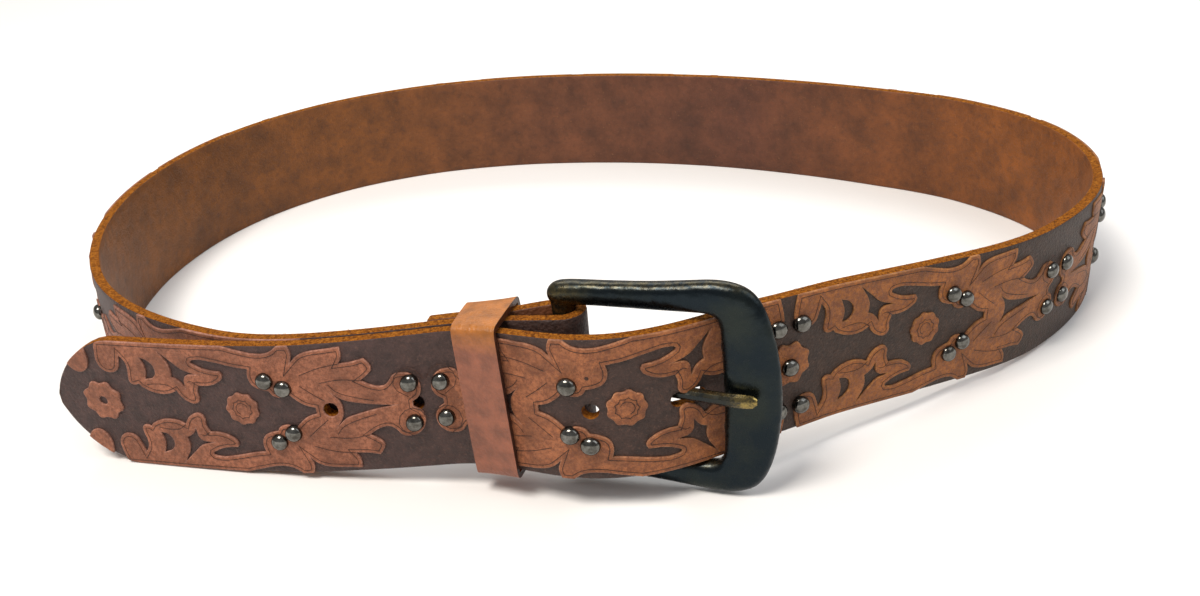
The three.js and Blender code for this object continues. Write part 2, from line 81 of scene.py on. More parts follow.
# %% Plan of the loop
RING_RADII = [1.116, 1.026, 0.906, 0.833, 0.801, 0.801, 0.832, 0.896, 0.981, 1.064, 1.118, 1.132,
              1.121, 1.094, 1.051, 0.98, 0.892, 0.853, 0.856, 0.889, 0.883, 0.93, 1.031, 1.116]
RING_LEANS = [1.7, 1, 0.5, 0, 0, 0, 0.6, 0.9, 1.1, 1.1, 0.7, 0,
              -0.8, -1.3, -1.1, -0.4, -0.1, -0.8, -0.9, 0.2, 3.2, 3.8, 3.4, 2.6]


def smooth_rise(share):
    t = min(1.0, max(0.0, share))
    return t * t * (3 - 2 * t)


def ring_value(values, angle):
    """Value at any direction, smooth through the rows of a table"""
    place = (angle % 360) / ROW_ANGLE
    k = int(place)
    a, b, c, d = (values[(k + i) % len(values)] for i in (-1, 0, 1, 2))
    t = place - k
    rise = smooth_rise(t)
    return b * (1 - rise) + c * rise + t * (1 - t) * ((1 - t) * (c - a) / 2 - t * (d - b) / 2)


def ring_point(angle):
    radius = RING_RADIUS * ring_value(RING_RADII, angle)
    turn = math.radians(angle)
    return Vector((radius * math.cos(turn), radius * math.sin(turn), 0))


def ring_along(angle):
    return (ring_point(angle + PLAN_STEP) - ring_point(angle - PLAN_STEP)).normalized()


def ring_lean(angle):
    return math.radians(ring_value(RING_LEANS, angle))


def outward(along):
    return Vector((along.y, -along.x, 0)).normalized()


def ring_distance(low, high):
    length = 0.0
    while low < high:
        length += (ring_point(low) - ring_point(min(low + PLAN_STEP, high))).length
        low += PLAN_STEP
    return length


def ring_points(low, high, offset_at):
    """Points and leans round the ring, set outward by an offset"""
    points = []
    from_bar = -ring_distance(low, BAR_ANGLE)
    angle = low
    while angle <= high:
        place = ring_point(angle) + outward(ring_along(angle)) * offset_at(angle, from_bar)
        points.append((place, ring_lean(angle)))
        from_bar += (ring_point(angle) - ring_point(angle + PLAN_STEP)).length
        angle += PLAN_STEP
    return points


def ride_at(from_bar):
    away = from_bar - RIDE_PEAK
    span = RIDE_BEFORE if away < 0 else RIDE_AFTER
    return 0.0 if abs(away) > span else RIDE_OUT / 2 * (1 + math.cos(math.pi * away / span))


def inner_offset(angle, from_bar):
    tuck = smooth_rise((angle - TUCK_START) / (TUCK_END - TUCK_START))
    return INNER_RIDE * ride_at(from_bar) - LAYER_PITCH * tuck


# %% [markdown]
# The strap's way starts at the free tip, goes once round, runs a second time under its own
# first layer, folds round the buckle's bar and comes back a short way inside.

# %% The strap's whole way
spring, spring_along = ring_point(SPRING_ANGLE), ring_along(SPRING_ANGLE)
way = []
back = TIP_REACH
while back > PLAN_STEP:
    way.append((spring - spring_along * back, ring_lean(SPRING_ANGLE)))
    back -= PLAN_STEP
way += ring_points(SPRING_ANGLE, 360 + TUCK_START, lambda angle, from_bar: ride_at(from_bar))
inner_run = ring_points(TUCK_START + PLAN_STEP, BAR_ANGLE, inner_offset)
way += inner_run
bar_index = len(way) - 1
bar_row, bar_lean = inner_run[-1]
bar_along = (bar_row - inner_run[-2][0]).normalized()
bar_place = bar_row - outward(bar_along) * FOLD_RADIUS
for turn in range(FOLD_STEP, 180, FOLD_STEP):
    swing = math.radians(turn)
    place = bar_place + outward(bar_along) * (FOLD_RADIUS * math.cos(swing))
    way.append((place + bar_along * (FOLD_RADIUS * math.sin(swing)), bar_lean * math.cos(swing)))
length = 0.0
for k in range(len(inner_run) - 1, 0, -1):
    if length >= FOLD_LENGTH:
        break
    along = inner_run[k][0] - inner_run[k - 1][0]
    share = smooth_rise(length / FOLD_SETTLE)
    apart = 2 * FOLD_RADIUS * (1 - share) + LAYER_PITCH * share
    way.append((inner_run[k][0] - outward(along) * apart, -inner_run[k][1]))
    length += along.length


def lift_at(place):
    """Height of the strap's lower edge, which the buckle holds up at the front"""
    angle = math.degrees(math.atan2(place.y, place.x))
    away = (angle - LIFT_ANGLE + 180) % 360 - 180
    return LIFT_HEIGHT * math.exp(-abs((away / LIFT_SPREAD) ** 3))


distances, bases, ups, faces, alongs = [], [], [], [], []
for k, (place, lean) in enumerate(way):
    before, after = way[max(0, k - 1)][0], way[min(len(way) - 1, k + 1)][0]
    along = (after - before).normalized()
    up = outward(along) * math.sin(lean) + Vector((0, 0, math.cos(lean)))
    base = place + Vector((0, 0, lift_at(place) + STRAP_THICK / 2 * abs(math.sin(lean))))
    distances.append((distances[-1] + (place - before).length) if k else 0.0)
    bases.append(base)
    ups.append(up)
    alongs.append(along)
    faces.append(along.cross(up))
strap_length = distances[-1]
bases, ups, faces, alongs = (np.array(rows) for rows in (bases, ups, faces, alongs))

# The way is moved so that the strap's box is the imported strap's box
corners = np.concatenate([bases + faces * STRAP_THICK / 2, bases - faces * STRAP_THICK / 2,
                          bases + ups * STRAP_WIDTH + faces * STRAP_THICK / 2])
strap_low, strap_high = (np.array(corner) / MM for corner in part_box("belt_strap"))
shift = (strap_low + strap_high) / 2 - (corners.min(axis=0) + corners.max(axis=0)) / 2
shift[2] = 0.0
bases += shift
print(f"Strap {strap_length:.0f} mm long, moved by {shift.round(2)} mm")


def way_at(distance):
    """Interpolated base, up and face for an array of distances from the tip"""
    def mix(rows):
        return np.stack([np.interp(distance, distances, rows[:, i]) for i in range(3)], 1)
    return mix(bases), mix(ups), mix(faces)


def bend(mesh):
    """Bends a flat mesh in millimetres round the strap's way, in metres"""
    flat = np.empty(len(mesh.vertices) * 3)
    mesh.vertices.foreach_get("co", flat)
    flat = flat.reshape(-1, 3)
    base, up, face = way_at(flat[:, 0])
    bent = base + up * flat[:, 1:2] + face * flat[:, 2:3]
    mesh.vertices.foreach_set("co", (bent * MM).ravel())
    mesh.update()


# %% [markdown]
# Every finish is a small node tree. One function adds a node with its settings and links, and
# another turns the colours, written as sRGB hex, into the linear values that Blender wants.


# %% Helpers for materials
def linear(hex_colour):
    channels = [int(hex_colour[i:i + 2], 16) / 255 for i in (1, 3, 5)]
    return tuple(c / 12.92 if c < 0.04045 else ((c + 0.055) / 1.055) ** 2.4 for c in channels) + (1,)


def add(material, kind, inputs=None, **settings):
    """Adds a node, sets its properties, and sets or links its inputs"""
    node = material.node_tree.nodes.new(kind)
    for key, value in settings.items():
        setattr(node, key, value)
    for key, value in (inputs or {}).items():
        if isinstance(value, bpy.types.NodeSocket):
            material.node_tree.links.new(value, node.inputs[key])
        else:
            node.inputs[key].default_value = value
    return node


def new_material(name):
    material = bpy.data.materials.new(name)
    material.use_nodes = True
    material.node_tree.nodes.clear()
    return material


def ramp(material, factor, stops):
    node = add(material, "ShaderNodeValToRGB", {0: factor})
    elements = node.color_ramp.elements
    while len(elements) < len(stops):
        elements.new(0.5)
    for element, (position, colour) in zip(elements, stops):
        element.position = position
        element.color = linear(colour)
    return node.outputs[0]


def grain(material, size_mm, detail=3.0, roughness=0.55, stretch=(1, 1, 1)):
    """Noise whose bumps are about size_mm across, in the piece's own coordinates"""
    place = add(material, "ShaderNodeTexCoord").outputs["Object"]
    spread = add(material, "ShaderNodeMapping", {"Vector": place, "Scale": stretch})
    node = add(material, "ShaderNodeTexNoise", {"Vector": spread.outputs[0], "Scale": 1 / (size_mm * MM),
                                                "Detail": detail, "Roughness": roughness})
    return node.outputs["Fac"]


def mix_colour(material, factor, low, high, blend="MIX"):
    node = add(material, "ShaderNodeMix", {"Factor": factor}, data_type="RGBA", blend_type=blend)
    for socket, value in ((6, low), (7, high)):
        if isinstance(value, str):
            node.inputs[socket].default_value = linear(value)
        else:
            material.node_tree.links.new(value, node.inputs[socket])
    return node.outputs[2]


def bump(material, height, depth_mm, normal=None):
    inputs = {"Height": height, "Distance": depth_mm * MM, "Strength": 1.0}
    if normal:
        inputs["Normal"] = normal
    return add(material, "ShaderNodeBump", inputs).outputs[0]


def finish_with(material, **inputs):
    named = {key.replace("_", " "): value for key, value in inputs.items()}
    shader = add(material, "ShaderNodeBsdfPrincipled", named)
    add(material, "ShaderNodeOutputMaterial", {"Surface": shader.outputs[0]})
    return material


def span(material, low, high, axis="X"):
    """Goes from 0 to 1 between two places on one axis, given in millimetres"""
    place = add(material, "ShaderNodeTexCoord").outputs["Object"]
    split = add(material, "ShaderNodeSeparateXYZ", {0: place})
    return add(material, "ShaderNodeMapRange", {"Value": split.outputs[axis], "From Min": low * MM,
                                                "From Max": high * MM}, clamp=True).outputs[0]


# %% [markdown]
# Vegetable tanned cowhide, stamped and stained: the raised flowers keep the tan of the hide and
# a waxed sheen, and the ground round them is beaten down and stained dark. The colour is painted
# pinker on the left, where light falls pinker, and the hide is more orange on the right, as it aged.


# %% Leather finishes
def tooled_tan(name, left, right, deep):
    """Grain side of the hide: mottled, with fine dark pores and soft creases"""
    material = new_material(name)
    # Painted light: pinker towards the left, where light falls pinker; more orange to the right, as the
    # hide aged
    base = mix_colour(material, span(material, -60, 60), left, right)
    blotch = ramp(material, grain(material, 7, 6, 0.7), [(0.34, "#747474"), (0.62, "#ffffff")])
    base = mix_colour(material, 0.7, base, blotch, "MULTIPLY")
    fibre = ramp(material, grain(material, 1.1, 5, 0.75), [(0.42, "#d8d8d8"), (0.56, "#000000")])
    base = mix_colour(material, fibre, base, deep)
    pores = bump(material, grain(material, 0.6, 5, 0.7), 0.45)
    creases = bump(material, grain(material, 2.6, 5, 0.6), 0.6, pores)
    return finish_with(material, Base_Color=base, Roughness=0.55, IOR=1.5, Normal=creases,
                       Specular_IOR_Level=0.4)


tan_leather = tooled_tan("waxed tooled cowhide", "#ab6b4d", "#a9652a", "#6b3b25")
# The rims are a lighter copy of the tan: partly burnished cut edges, partly a painted highlight along
# the rounded rims
rim_leather_burnished_and_highlit = tooled_tan("bevelled rims, burnished and painted with highlight", "#b8806a", "#b2763e", "#6d3f2c")


def stained_ground():
    """Ground beaten down with a matting stamp and stained dark brown, scuffed here and there"""
    material = new_material("dark stained matted ground")
    # Painted light: pinker towards the left, where light falls pinker; more orange to the right, as the
    # hide aged
    base = mix_colour(material, span(material, -60, 60), "#46302c", "#3a2619")
    shade = ramp(material, grain(material, 3, 5, 0.7), [(0.35, "#8c8c8c"), (0.65, "#ffffff")])
    base = mix_colour(material, 0.7, base, shade, "MULTIPLY")
    worn = ramp(material, grain(material, 5, 8, 0.8), [(0.6, "#000000"), (0.7, "#a0a0a0")])
    base = mix_colour(material, worn, base, "#7a5a48")
    speck = ramp(material, grain(material, 0.9, 4, 0.75), [(0.56, "#000000"), (0.66, "#b0b0b0")])
    base = mix_colour(material, speck, base, "#65483c")
    pebbles = bump(material, grain(material, 0.8, 4), 0.5)
    return finish_with(material, Base_Color=base, Roughness=0.55, IOR=1.5, Normal=pebbles,
                       Specular_IOR_Level=0.4)


def flesh_side():
    """Smoothed flesh side of the hide: mottled, orange at the sides and redder at the back"""
    material = new_material("slicked flesh side")
    middle = ramp(material, span(material, -150, 150), [
        (0.0, "#7a460f"), (0.2, "#804a18"), (0.45, "#704126"), (0.72, "#663a26"), (1.0, "#8a4d14")])
    blotch = ramp(material, grain(material, 12, 6, 0.7), [(0.32, "#7c7c7c"), (0.66, "#ffffff")])
    base = mix_colour(material, 0.7, middle, blotch, "MULTIPLY")
    dark = ramp(material, grain(material, 2.2, 6, 0.75), [(0.5, "#000000"), (0.7, "#d0d0d0")])
    base = mix_colour(material, dark, base, "#3f2212")
    scuffs = ramp(material, grain(material, 1.1, 5, 0.75), [(0.6, "#000000"), (0.72, "#c0c0c0")])
    base = mix_colour(material, scuffs, base, "#a06c42")
    nap = bump(material, grain(material, 0.7, 5), 0.3)
    nap = bump(material, grain(material, 6, 4), 0.8, nap)
    return finish_with(material, Base_Color=base, Roughness=0.5, IOR=1.5, Normal=nap,
                       Specular_IOR_Level=0.4)


def raw_edge():
    """Cut edge, left raw: orange suede fibres"""
    material = new_material("raw suede edge")
    fibre = grain(material, 0.8, 6, 0.75)
    base = ramp(material, fibre, [(0.34, "#3a1c06"), (0.5, "#94540f"), (0.66, "#c07c26")])
    tufts = bump(material, grain(material, 0.7, 5, 0.7), 1.2)
    return finish_with(material, Base_Color=base, Roughness=0.95, IOR=1.5, Normal=tufts,
                       Specular_IOR_Level=0.15)


ground_leather, flesh_leather, edge_leather = stained_ground(), flesh_side(), raw_edge()
print("Leather finishes:", tan_leather.name, rim_leather_burnished_and_highlit.name, ground_leather.name)

# %% [markdown]
# The strap itself is one length of hide. A grid gives it rows to bend at; its tip is drawn in,
# the sheet is extruded to its thickness and its long edges are rounded a little.

# %% Cut the strap flat
GROUND_DEPTH = 0.45
TOP = STRAP_THICK / 2
HOLE_RADIUS, HOLE_PITCH, PRONG_HOLE = 2.1, 23.2, 174.7
PRONG_SLOT_RADIUS, PRONG_SLOT_LONG = 2.0, 5.0
BAR_SLOT_RADIUS, BAR_SLOT_LONG = 2.9, 24.0
COLUMNS, ROWS = 712, 12
SQUARE_CORNER, CORNER_ROUND = 1.2, 0.45


def half_width_at(distance):
    left = 1 - min(1.0, (distance + 0.15) / TIP_LENGTH)
    return STRAP_WIDTH / 2 * (1 - left ** 1.6) ** 0.62


def new_object(name, mesh):
    piece = bpy.data.objects.new(name, mesh)
    bpy.context.collection.objects.link(piece)
    return piece


def from_bmesh(name, bm, *materials):
    mesh = bpy.data.meshes.new(name)
    bm.to_mesh(mesh)
    bm.free()
    for material in materials:
        mesh.materials.append(material)
    return new_object(name, mesh)


def finished_mesh(piece):
    """Mesh of an object as its modifiers or its curve settings leave it"""
    graph = bpy.context.evaluated_depsgraph_get()
    return bpy.data.meshes.new_from_object(piece.evaluated_get(graph))


def apply_modifiers(piece):
    mesh = finished_mesh(piece)
    piece.modifiers.clear()
    piece.data = mesh


def mesh_of(curve):
    """Turns a curve into a mesh"""
    drawn = new_object(curve.name, curve)
    mesh = finished_mesh(drawn)
    bpy.data.objects.remove(drawn)
    return mesh


def punch(distance, height, radius, long=0.0):
    """Cutter for a hole through the flat strap, drawn out along it for a slot"""
    bm = bmesh.new()
    bmesh.ops.create_cone(bm, cap_ends=True, segments=24, radius1=radius, radius2=radius, depth=12)
    for vert in bm.verts:
        vert.co.x += long / 2 * math.copysign(1, vert.co.x) if abs(vert.co.x) > 1e-6 else 0
    bmesh.ops.translate(bm, vec=(distance, height, 0), verts=bm.verts)
    return from_bmesh("punch", bm)


bm = bmesh.new()
bmesh.ops.create_grid(bm, x_segments=COLUMNS, y_segments=ROWS, size=0.5)
bmesh.ops.scale(bm, vec=(strap_length, STRAP_WIDTH, 1), verts=bm.verts)
bmesh.ops.translate(bm, vec=(strap_length / 2, MIDDLE, -TOP), verts=bm.verts)
for vert in bm.verts:
    if vert.co.x < TIP_LENGTH:
        vert.co.x *= vert.co.x / TIP_LENGTH
    vert.co.y = MIDDLE + (vert.co.y - MIDDLE) * half_width_at(vert.co.x) / MIDDLE
lifted = bmesh.ops.extrude_face_region(bm, geom=bm.faces[:])
raised = [item for item in lifted["geom"] if isinstance(item, bmesh.types.BMVert)]
bmesh.ops.translate(bm, vec=(0, 0, STRAP_THICK - GROUND_DEPTH), verts=raised)
bmesh.ops.recalc_face_normals(bm, faces=bm.faces)
rims = [edge for edge in bm.edges if edge.calc_face_angle(0) > SQUARE_CORNER]
bmesh.ops.bevel(bm, geom=rims, offset=CORNER_ROUND, segments=2, affect="EDGES", profile=0.5,
                material=-1)
strap = from_bmesh("tooled_strap", bm)
cutters = [punch(PRONG_HOLE - k * HOLE_PITCH, MIDDLE, HOLE_RADIUS) for k in range(1, 5)]
cutters.append(punch(PRONG_HOLE, MIDDLE, PRONG_SLOT_RADIUS, PRONG_SLOT_LONG))
cutters.append(punch(distances[bar_index] + 1, MIDDLE, BAR_SLOT_RADIUS, BAR_SLOT_LONG))
for cutter in cutters:
    cut = strap.modifiers.new("punch", "BOOLEAN")
    cut.object = cutter
    cut.operation = "DIFFERENCE"
apply_modifiers(strap)
for cutter in cutters:
    bpy.data.objects.remove(cutter)
strap.data.materials.clear()
for material in (ground_leather, flesh_leather, edge_leather):
    strap.data.materials.append(material)
for face in strap.data.polygons:
    face.material_index = 0 if face.normal.z > 0.8 else 1 if face.normal.z < -0.8 else 2
    face.use_smooth = abs(face.normal.z) > 0.8
bend(strap.data)
print("Strap:", len(strap.data.polygons), "faces")

# %% [markdown]
# The tooling repeats and mirrors along the strap: a flower, two scrolls, a small flower, an
# acanthus spray and four studs, then the same again backwards. Its outlines are drawn once as
# curves, filled, and given a rounded rim by the curve's own bevel. A third number marks a
# sharp corner. X runs from the large flower's middle, Y from the strap's lower edge.

# %% Outlines of the tooling, in millimetres
scroll_side = [
    (2.4, 37.95, 1), (1.6, 34), (1.5, 31.5), (2.7, 29.3), (4.9, 28.5), (7.2, 29.3), (8.2, 31.3),
    (9.0, 34, 1), (10.2, 32.2), (10.5, 30), (10.1, 27.5), (10.2, 25.9), (11.4, 25.2), (12.9, 25.6, 1),
    (13.6, 24.7, 1), (16, 23.5), (18.8, 22.9), (21.8, 23.2), (24, 24.2, 1), (24.9, 22.5), (26.7, 21),
    (28.9, 20.5), (30.2, 21.6), (30.2, 24), (30.9, 26.1, 1), (33.7, 26.1), (36.8, 27.1), (38.8, 29.1),
    (38.3, 30.4, 1), (34.6, 30.8), (31.3, 32.1), (30.3, 33), (31.6, 33.7), (36.6, 33.3), (42.6, 32),
    (46.6, 31.4, 1), (46.2, 29.2), (47, 26.8), (49.2, 25.5), (51.5, 25, 1), (52.4, 23.7), (54.8, 23.1),
    (57, 24, 1), (58.7, 22.3), (61, 20.7), (63.6, 19.9, 1),
]
spray_side = [
    (90.1, 19.7, 1), (92.2, 21.4), (92.6, 24.5), (90.9, 27.2), (88.2, 28.1), (85.9, 27.6), (84.6, 26),
    (83, 24.9), (80.1, 25.3), (77.2, 26.9, 1), (79.3, 28.3), (80.7, 30), (80.1, 31.7), (79, 33, 1),
    (75.6, 32.3), (72.2, 32.1, 1), (73.3, 34), (73.3, 36.7, 1), (68.6, 36.4), (64.1, 36),
    (61.3, 35), (59.2, 33.2, 1), (59.9, 35.6), (59.2, 37.95, 1),
]
edge_lens = [(56.2, 37.95, 1), (53.8, 36.3), (50, 35.8), (45, 36.7), (40.2, 37.95, 1)]
crescent = [(15.1, 33.6, 1), (17.6, 32.6), (18.9, 30.2), (17.8, 27.8), (15.4, 27.2, 1), (16.1, 30.2)]
star = [
    (21.1, 35.9, 1), (24.6, 32.8), (27.2, 30.6), (30.9, 29.4, 1), (27.5, 28.6), (26.8, 25.2, 1),
    (25.2, 27.3), (23.4, 28.2, 1), (23.6, 31.2),
]
spray_heart = [
    (69.2, 23.4, 1), (71.4, 21.8), (75, 20.7), (80, 19.8), (85, 19.2, 1), (80, 18.4), (75, 17.3),
    (71.4, 16.2), (69.2, 14.4, 1), (70.7, 16.8), (71.1, 19), (70.7, 21.2),
]
tip_lobe = [
    (12.3, 36.2, 1), (12.9, 33.6), (12.8, 31), (11.2, 28.6), (9, 28), (6.9, 29.2), (6, 30.6, 1),
    (8.9, 34.1),
]
veins = [
    [(60.5, 26.5), (63.5, 24), (66.5, 21.8)],
    [(68.3, 26.4), (70, 24.4), (74, 22.6), (80, 21)],
    [(72.2, 32.1), (67, 31.4), (61, 29.5)],
    [(77.2, 26.9), (72, 27.6), (66, 27)],
    [(24, 24.2), (22, 25.6), (19, 26), (15.5, 25.6)],
    [(30.9, 26.1), (29, 27.3), (28, 27)],
]
FIRST_FLOWER, FLOWER_TO_ROSE, ROSE_TO_CLUSTER = 14.2, 42.5, 51.6
PERIOD = 2 * (FLOWER_TO_ROSE + ROSE_TO_CLUSTER)
PATTERN_END, TOOLING_END = 940.0, 960.0
FLOWER_RISE = 0.5
BEND_STEP = 2.0

# Studs of each group: distance from the group's middle, and height as a share of the width
flower_studs = [(0, 0.49), (-3.3, 0.79), (3.3, 0.79), (-3.3, 0.18), (3.3, 0.18)]
rose_studs = [(8.5, 0.74), (13.3, 0.68), (9, 0.26), (13.6, 0.33)]
cluster_studs = [(-4.1, 0.66), (4.1, 0.65), (-4.3, 0.36), (4.3, 0.38)]


def mirrored(points, middle=MIDDLE):
    return [(x, 2 * middle - y, *corner) for x, y, *corner in points]


def whole_spray():
    """One closed outline for both scrolls and the spray that joins them, with its cut-outs"""
    left = scroll_side + mirrored(scroll_side)[::-1]
    lens = mirrored(edge_lens)[::-1]
    right = mirrored(spray_side)[::-1] + spray_side
    outline = left + lens + right + edge_lens
    holes = [cut for shape in (crescent, star) for cut in (shape, mirrored(shape))]
    return [outline, *holes, spray_heart]


def flower(middle, radius, petals, depth):
    """Scalloped flower round a middle point"""
    points = []
    for k in range(2 * petals):
        turn = math.pi * k / petals
        reach = radius if k % 2 else radius - depth
        x, y = middle + reach * math.cos(turn), MIDDLE + FLOWER_RISE + reach * math.sin(turn)
        points.append((x, y))
    return points


def ring_outline(x, y, radius):
    quarter = math.pi / 2
    return [(x + radius * math.cos(k * quarter), y + radius * math.sin(k * quarter)) for k in range(4)]


def draw(name, outlines, rim, closed=True, inset=0.0):
    """Mesh of filled closed outlines with rounded rims, or of thin threads along outlines"""
    curve = bpy.data.curves.new(name, "CURVE")
    curve.dimensions = "2D"
    curve.fill_mode = "BOTH" if closed else "NONE"
    curve.resolution_u = 3
    curve.bevel_depth = rim
    curve.bevel_resolution = 1 if closed else 0
    curve.extrude = 0.15 if closed else 0
    curve.offset = -inset
    for points in outlines:
        spline = curve.splines.new("BEZIER")
        spline.bezier_points.add(len(points) - 1)
        spline.use_cyclic_u = closed or len(points) > 5
        for knot, (x, y, *corner) in zip(spline.bezier_points, points):
            knot.co = (x, y, 0)
            knot.handle_left_type = knot.handle_right_type = "VECTOR" if corner else "AUTO"
    return mesh_of(curve)


def slice_along(mesh, step=BEND_STEP):
    """Cuts a flat mesh across so that it can bend, and drops its buried faces"""
    bm = bmesh.new()
    bm.from_mesh(mesh)
    bmesh.ops.remove_doubles(bm, verts=bm.verts, dist=0.001)
    low, high = min(v.co.x for v in bm.verts), max(v.co.x for v in bm.verts)
    for k in range(int(low // step) + 1, int(high // step) + 1):
        geometry = bm.verts[:] + bm.edges[:] + bm.faces[:]
        bmesh.ops.bisect_plane(bm, geom=geometry, plane_co=(k * step, 0, 0), plane_no=(1, 0, 0))
    buried = [face for face in bm.faces if face.normal.z < -0.7]
    bmesh.ops.delete(bm, geom=buried, context="FACES")
    bm.to_mesh(mesh)
    bm.free()
    return mesh


def lay_pattern(bm, mesh, lift, first_mesh=None):
    """Repeats and mirrors a unit of the pattern along the strap as far as the tooling goes"""
    start = FIRST_FLOWER
    while start < PATTERN_END:
        for side, origin in ((1, start), (-1, start + PERIOD)):
            first = len(bm.verts)
            count = len(bm.faces)
            bm.from_mesh(first_mesh if first_mesh and first == 0 else mesh)
            bm.verts.ensure_lookup_table()
            bm.faces.ensure_lookup_table()
            new = bm.verts[first:]
            for vert in new:
                vert.co = (origin + side * vert.co.x, vert.co.y, vert.co.z + lift)
            if side < 0:
                bmesh.ops.reverse_faces(bm, faces=bm.faces[count:])
            if min(v.co.x for v in new) < 0 or max(v.co.x for v in new) > TOOLING_END:
                bmesh.ops.delete(bm, geom=new, context="VERTS")
        start += PERIOD


# %% [markdown]
# Each outline becomes a thin slab with a rounded rim, sunk a little in the ground. It is cut
# across every two millimetres, laid along the flat strap and bent with it.

# %% Raise the tooling off the ground
RIM = 0.22
EDGE_MARGIN = 0.12
RELIEF = TOP - 0.3


def add_flat(bm, mesh, place, slot=0):
    """Adds a flat mesh to others, moved to its place, with one material slot"""
    first, count = len(bm.verts), len(bm.faces)
    bm.from_mesh(mesh)
    bm.verts.ensure_lookup_table()
    bm.faces.ensure_lookup_table()
    bmesh.ops.translate(bm, vec=place, verts=bm.verts[first:])
    for face in bm.faces[count:]:
        face.material_index = slot


half_unit = slice_along(draw("spray", whole_spray(), RIM, inset=RIM))
last_hole = ring_outline(PRONG_HOLE - 4 * HOLE_PITCH - FIRST_FLOWER, MIDDLE, HOLE_RADIUS)
first_unit = slice_along(draw("spray", [*whole_spray(), last_hole], RIM, inset=RIM))
roses = slice_along(draw("roses", [flower(FLOWER_TO_ROSE, 4.9, 9, 0.5)], RIM, inset=RIM))
bm = bmesh.new()
lay_pattern(bm, half_unit, RELIEF, first_unit)
lay_pattern(bm, roses, RELIEF)
tooling = from_bmesh("raised_tooling", bm, tan_leather, rim_leather_burnished_and_highlit)

middle_hole = ring_outline(0, MIDDLE + FLOWER_RISE, 1.3)
large = slice_along(draw("flower", [flower(0, 6.1, 8, 0.9), middle_hole], RIM, inset=RIM))
tip_lobes = slice_along(draw("lobes", [tip_lobe, mirrored(tip_lobe)], RIM, inset=RIM))
bm = bmesh.new()
start = FIRST_FLOWER
while start < PATTERN_END:
    add_flat(bm, large, (start, 0, RELIEF))
    start += PERIOD
add_flat(bm, tip_lobes, (0, 0, RELIEF))
flowers = from_bmesh("raised_flowers", bm, tan_leather, rim_leather_burnished_and_highlit)
for piece in (tooling, flowers):
    for vert in piece.data.vertices:
        reach = half_width_at(max(0.0, vert.co.x)) - EDGE_MARGIN
        vert.co.y = min(MIDDLE + reach, max(MIDDLE - reach, vert.co.y))
    for face in piece.data.polygons:
        # Slanted rim faces take the lighter rim finish: burnished edge and painted highlight
        face.material_index = 0 if face.normal.z > 0.95 else 1
        face.use_smooth = True
    bend(piece.data)
print("Tooling:", len(tooling.data.polygons) + len(flowers.data.polygons), "faces")

# %% [markdown]
# A swivel knife cuts a fine line a little inside each outline. It is drawn as a thin dark
# thread that lies in the surface.

# %% Knife lines
cut_leather = tooled_tan("knife cuts in the tooling", "#4d2b1e", "#472814", "#2c1810")
LINE = 0.11
LINE_RISE = 0.06
cluster = FLOWER_TO_ROSE + ROSE_TO_CLUSTER
stud_rings = [ring_outline(cluster + away, share * STRAP_WIDTH, 3.2)
              for away, share in cluster_studs if away < 0]
rose_lines = [flower(FLOWER_TO_ROSE, 4.0, 9, 0.5),
              ring_outline(FLOWER_TO_ROSE, MIDDLE + FLOWER_RISE, 0.8)]
inner_lines = whole_spray()[:1] + stud_rings + rose_lines
both_veins = veins + [mirrored(vein) for vein in veins]
drawings = [draw("lines", inner_lines, LINE, closed=False, inset=1.0),
            draw("veins", both_veins, LINE, closed=False)]
bm = bmesh.new()
for drawing in drawings:
    lay_pattern(bm, slice_along(drawing), TOP + LINE_RISE)
knife_lines = from_bmesh("knife_lines", bm, cut_leather)
bend(knife_lines.data)
print("Knife lines:", len(knife_lines.data.polygons), "faces")

# %% [markdown]
# One stud has come off. It left a pale disc that the stain never reached, a dark ring where its
# rim pressed, and the small hole of its post, which is not cut but painted as a dark disc of shade.

# %% Mark of the lost stud
lost_x = FIRST_FLOWER + PERIOD - FLOWER_TO_ROSE - rose_studs[0][0]
lost_y = rose_studs[0][1] * STRAP_WIDTH
bm = bmesh.new()
marks = [(draw("disc", [ring_outline(lost_x, lost_y, 2.3)], 0.1, inset=0.1), 0),
         (draw("rim", [ring_outline(lost_x, lost_y, 2.6)], 0.2, closed=False), 1),
         # The post hole is a dark disc of painted shade, not a cut
         (draw("post_hole_painted_shade", [ring_outline(lost_x, lost_y, 0.5)], 0.1, inset=0.1), 1)]
for k, (mark, slot) in enumerate(marks):
    add_flat(bm, mark, (0, 0, TOP - 0.2 + 0.05 * k), slot)
lost_mark = from_bmesh("lost_stud_mark", bm, tan_leather, cut_leather)
bend(lost_mark.data)
print("Mark of the lost stud at", round(lost_x, 1), "mm")

# %% [markdown]
# A raw edge sheds fibres. They are short bent hairs set at random along the cut edges, finer
# than the leather's own grain can show.

